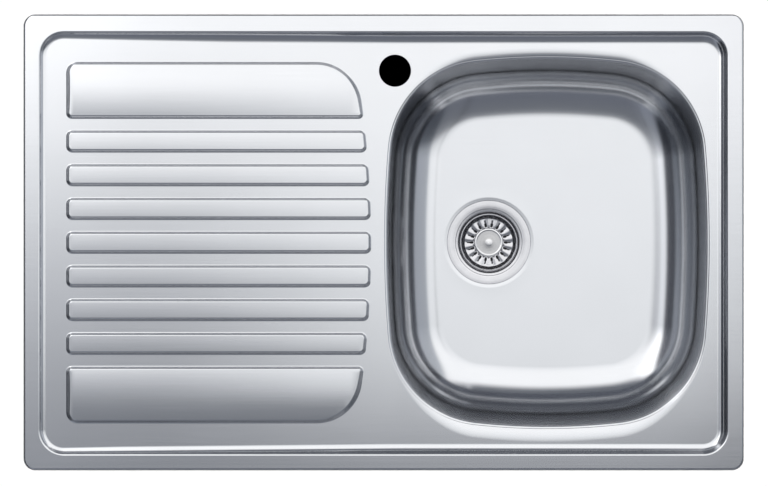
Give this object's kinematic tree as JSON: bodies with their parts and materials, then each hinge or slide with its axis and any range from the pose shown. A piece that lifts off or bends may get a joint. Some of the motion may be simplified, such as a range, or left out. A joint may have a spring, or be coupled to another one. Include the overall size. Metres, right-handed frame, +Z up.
{
  "type": "kitchen sink with drainboard",
  "caption": "Inset pressed-steel kitchen sink: ribbed drainer on the left, deep rounded bowl on the right with a basket strainer waste, overflow and under-rim clamps.",
  "frame": {"origin": "centre of the rim's outline, on the plane of the worktop that the rim seal rests on", "axes": "+X towards the bowl end, +Y towards the tap ledge, +Z up"},
  "size_m": [0.79, 0.5, 0.2288],
  "materials": {
    "pressing_steel": "bright stainless steel with a fine linear grain",
    "strainer_steel": "polished stainless steel",
    "knob_steel": "spun stainless steel with a bright edge",
    "zinc_steel": "zinc plated",
    "bracket_steel": "galvanised",
    "seal_foam": "closed-cell foam",
    "damping_pad": "matt sound-damping sheet",
    "black_rubber": "smooth black rubber",
    "white_plastic": "moulded white polypropylene",
    "grey_plastic": "moulded grey polypropylene",
    "stem_plastic": "moulded acetal"
  },
  "bodies": {
    "sink": {"sink_pressing": "pressing_steel", "rim_seal": "seal_foam", "sound_pad": "damping_pad", "waste_flange": "strainer_steel", "waste_screw": "zinc_steel", "waste_gasket_upper": "black_rubber", "waste_gasket_lower": "black_rubber", "overflow_gasket": "black_rubber", "inlet_seal": "black_rubber", "waste_body": "white_plastic", "overflow_box": "white_plastic", "overflow_pipe": "white_plastic", "inlet_nut": "grey_plastic", "overflow_stud_1": "zinc_steel", "overflow_nut_1": "zinc_steel", "overflow_stud_2": "zinc_steel", "overflow_nut_2": "zinc_steel", "clamp_bracket_1": "bracket_steel", "clamp_bracket_2": "bracket_steel", "clamp_bracket_3": "bracket_steel", "clamp_bracket_4": "bracket_steel", "clamp_bracket_5": "bracket_steel", "clamp_bracket_6": "bracket_steel", "clamp_bracket_7": "bracket_steel", "clamp_bracket_8": "bracket_steel"},
    "basket": {"strainer_basket": "strainer_steel", "strainer_knob": "knob_steel", "strainer_stem": "stem_plastic", "strainer_seal": "black_rubber"},
    "clamp_washer_1": {"clamp_washer_1": "zinc_steel"},
    "clamp_arm_1": {"clamp_arm_1": "zinc_steel"},
    "clamp_wing_nut_1": {"clamp_wing_nut_1": "zinc_steel"},
    "clamp_washer_2": {"clamp_washer_2": "zinc_steel"},
    "clamp_arm_2": {"clamp_arm_2": "zinc_steel"},
    "clamp_wing_nut_2": {"clamp_wing_nut_2": "zinc_steel"},
    "clamp_washer_3": {"clamp_washer_3": "zinc_steel"},
    "clamp_arm_3": {"clamp_arm_3": "zinc_steel"},
    "clamp_wing_nut_3": {"clamp_wing_nut_3": "zinc_steel"},
    "clamp_washer_4": {"clamp_washer_4": "zinc_steel"},
    "clamp_arm_4": {"clamp_arm_4": "zinc_steel"},
    "clamp_wing_nut_4": {"clamp_wing_nut_4": "zinc_steel"},
    "clamp_washer_5": {"clamp_washer_5": "zinc_steel"},
    "clamp_arm_5": {"clamp_arm_5": "zinc_steel"},
    "clamp_wing_nut_5": {"clamp_wing_nut_5": "zinc_steel"},
    "clamp_washer_6": {"clamp_washer_6": "zinc_steel"},
    "clamp_arm_6": {"clamp_arm_6": "zinc_steel"},
    "clamp_wing_nut_6": {"clamp_wing_nut_6": "zinc_steel"},
    "clamp_washer_7": {"clamp_washer_7": "zinc_steel"},
    "clamp_arm_7": {"clamp_arm_7": "zinc_steel"},
    "clamp_wing_nut_7": {"clamp_wing_nut_7": "zinc_steel"},
    "clamp_washer_8": {"clamp_washer_8": "zinc_steel"},
    "clamp_arm_8": {"clamp_arm_8": "zinc_steel"},
    "clamp_wing_nut_8": {"clamp_wing_nut_8": "zinc_steel"}
  },
  "joints": [
    {"name": "basket_lift", "type": "slide", "parent": "sink", "child": "basket", "axis": [0, 0, 1], "range_m": [0, 0.045]},
    {"name": "clamp_lift_1", "type": "slide", "parent": "sink", "child": "clamp_washer_1", "axis": [0, 0, 1], "range_m": [0, 0.033]},
    {"name": "clamp_turn_1", "type": "hinge", "parent": "clamp_washer_1", "child": "clamp_wing_nut_1", "pos_m": [-0.28, 0.227, -0.0655], "axis": [0, 0, 1], "range_deg": [0, 11880]},
    {"name": "clamp_swing_1", "type": "hinge", "parent": "clamp_washer_1", "child": "clamp_arm_1", "pos_m": [-0.28, 0.227, -0.0575], "axis": [0, 0, 1], "range_deg": [0, 90]},
    {"name": "clamp_lift_2", "type": "slide", "parent": "sink", "child": "clamp_washer_2", "axis": [0, 0, 1], "range_m": [0, 0.033]},
    {"name": "clamp_turn_2", "type": "hinge", "parent": "clamp_washer_2", "child": "clamp_wing_nut_2", "pos_m": [-0.045, 0.227, -0.0655], "axis": [0, 0, 1], "range_deg": [0, 11880]},
    {"name": "clamp_swing_2", "type": "hinge", "parent": "clamp_washer_2", "child": "clamp_arm_2", "pos_m": [-0.045, 0.227, -0.0575], "axis": [0, 0, 1], "range_deg": [0, 90]},
    {"name": "clamp_lift_3", "type": "slide", "parent": "sink", "child": "clamp_washer_3", "axis": [0, 0, 1], "range_m": [0, 0.033]},
    {"name": "clamp_turn_3", "type": "hinge", "parent": "clamp_washer_3", "child": "clamp_wing_nut_3", "pos_m": [0.28, 0.227, -0.0655], "axis": [0, 0, 1], "range_deg": [0, 11880]},
    {"name": "clamp_swing_3", "type": "hinge", "parent": "clamp_washer_3", "child": "clamp_arm_3", "pos_m": [0.28, 0.227, -0.0575], "axis": [0, 0, 1], "range_deg": [0, 90]},
    {"name": "clamp_lift_4", "type": "slide", "parent": "sink", "child": "clamp_washer_4", "axis": [0, 0, 1], "range_m": [0, 0.033]},
    {"name": "clamp_turn_4", "type": "hinge", "parent": "clamp_washer_4", "child": "clamp_wing_nut_4", "pos_m": [-0.28, -0.227, -0.0655], "axis": [0, 0, 1], "range_deg": [0, 11880]},
    {"name": "clamp_swing_4", "type": "hinge", "parent": "clamp_washer_4", "child": "clamp_arm_4", "pos_m": [-0.28, -0.227, -0.0575], "axis": [0, 0, 1], "range_deg": [0, 90]},
    {"name": "clamp_lift_5", "type": "slide", "parent": "sink", "child": "clamp_washer_5", "axis": [0, 0, 1], "range_m": [0, 0.033]},
    {"name": "clamp_turn_5", "type": "hinge", "parent": "clamp_washer_5", "child": "clamp_wing_nut_5", "pos_m": [-0.045, -0.227, -0.0655], "axis": [0, 0, 1], "range_deg": [0, 11880]},
    {"name": "clamp_swing_5", "type": "hinge", "parent": "clamp_washer_5", "child": "clamp_arm_5", "pos_m": [-0.045, -0.227, -0.0575], "axis": [0, 0, 1], "range_deg": [0, 90]},
    {"name": "clamp_lift_6", "type": "slide", "parent": "sink", "child": "clamp_washer_6", "axis": [0, 0, 1], "range_m": [0, 0.033]},
    {"name": "clamp_turn_6", "type": "hinge", "parent": "clamp_washer_6", "child": "clamp_wing_nut_6", "pos_m": [0.28, -0.227, -0.0655], "axis": [0, 0, 1], "range_deg": [0, 11880]},
    {"name": "clamp_swing_6", "type": "hinge", "parent": "clamp_washer_6", "child": "clamp_arm_6", "pos_m": [0.28, -0.227, -0.0575], "axis": [0, 0, 1], "range_deg": [0, 90]},
    {"name": "clamp_lift_7", "type": "slide", "parent": "sink", "child": "clamp_washer_7", "axis": [0, 0, 1], "range_m": [0, 0.033]},
    {"name": "clamp_turn_7", "type": "hinge", "parent": "clamp_washer_7", "child": "clamp_wing_nut_7", "pos_m": [0.372, 0, -0.0655], "axis": [0, 0, 1], "range_deg": [0, 11880]},
    {"name": "clamp_swing_7", "type": "hinge", "parent": "clamp_washer_7", "child": "clamp_arm_7", "pos_m": [0.372, 0, -0.0575], "axis": [0, 0, 1], "range_deg": [0, 90]},
    {"name": "clamp_lift_8", "type": "slide", "parent": "sink", "child": "clamp_washer_8", "axis": [0, 0, 1], "range_m": [0, 0.033]},
    {"name": "clamp_turn_8", "type": "hinge", "parent": "clamp_washer_8", "child": "clamp_wing_nut_8", "pos_m": [-0.372, 0, -0.0655], "axis": [0, 0, 1], "range_deg": [0, 11880]},
    {"name": "clamp_swing_8", "type": "hinge", "parent": "clamp_washer_8", "child": "clamp_arm_8", "pos_m": [-0.372, 0, -0.0575], "axis": [0, 0, 1], "range_deg": [0, 90]}
  ],
  "couplings": [
    {"joint": "clamp_turn_1", "follows": "clamp_lift_1", "rad_per_m": 6283.2},
    {"joint": "clamp_turn_2", "follows": "clamp_lift_2", "rad_per_m": 6283.2},
    {"joint": "clamp_turn_3", "follows": "clamp_lift_3", "rad_per_m": 6283.2},
    {"joint": "clamp_turn_4", "follows": "clamp_lift_4", "rad_per_m": 6283.2},
    {"joint": "clamp_turn_5", "follows": "clamp_lift_5", "rad_per_m": 6283.2},
    {"joint": "clamp_turn_6", "follows": "clamp_lift_6", "rad_per_m": 6283.2},
    {"joint": "clamp_turn_7", "follows": "clamp_lift_7", "rad_per_m": 6283.2},
    {"joint": "clamp_turn_8", "follows": "clamp_lift_8", "rad_per_m": 6283.2}
  ]
}
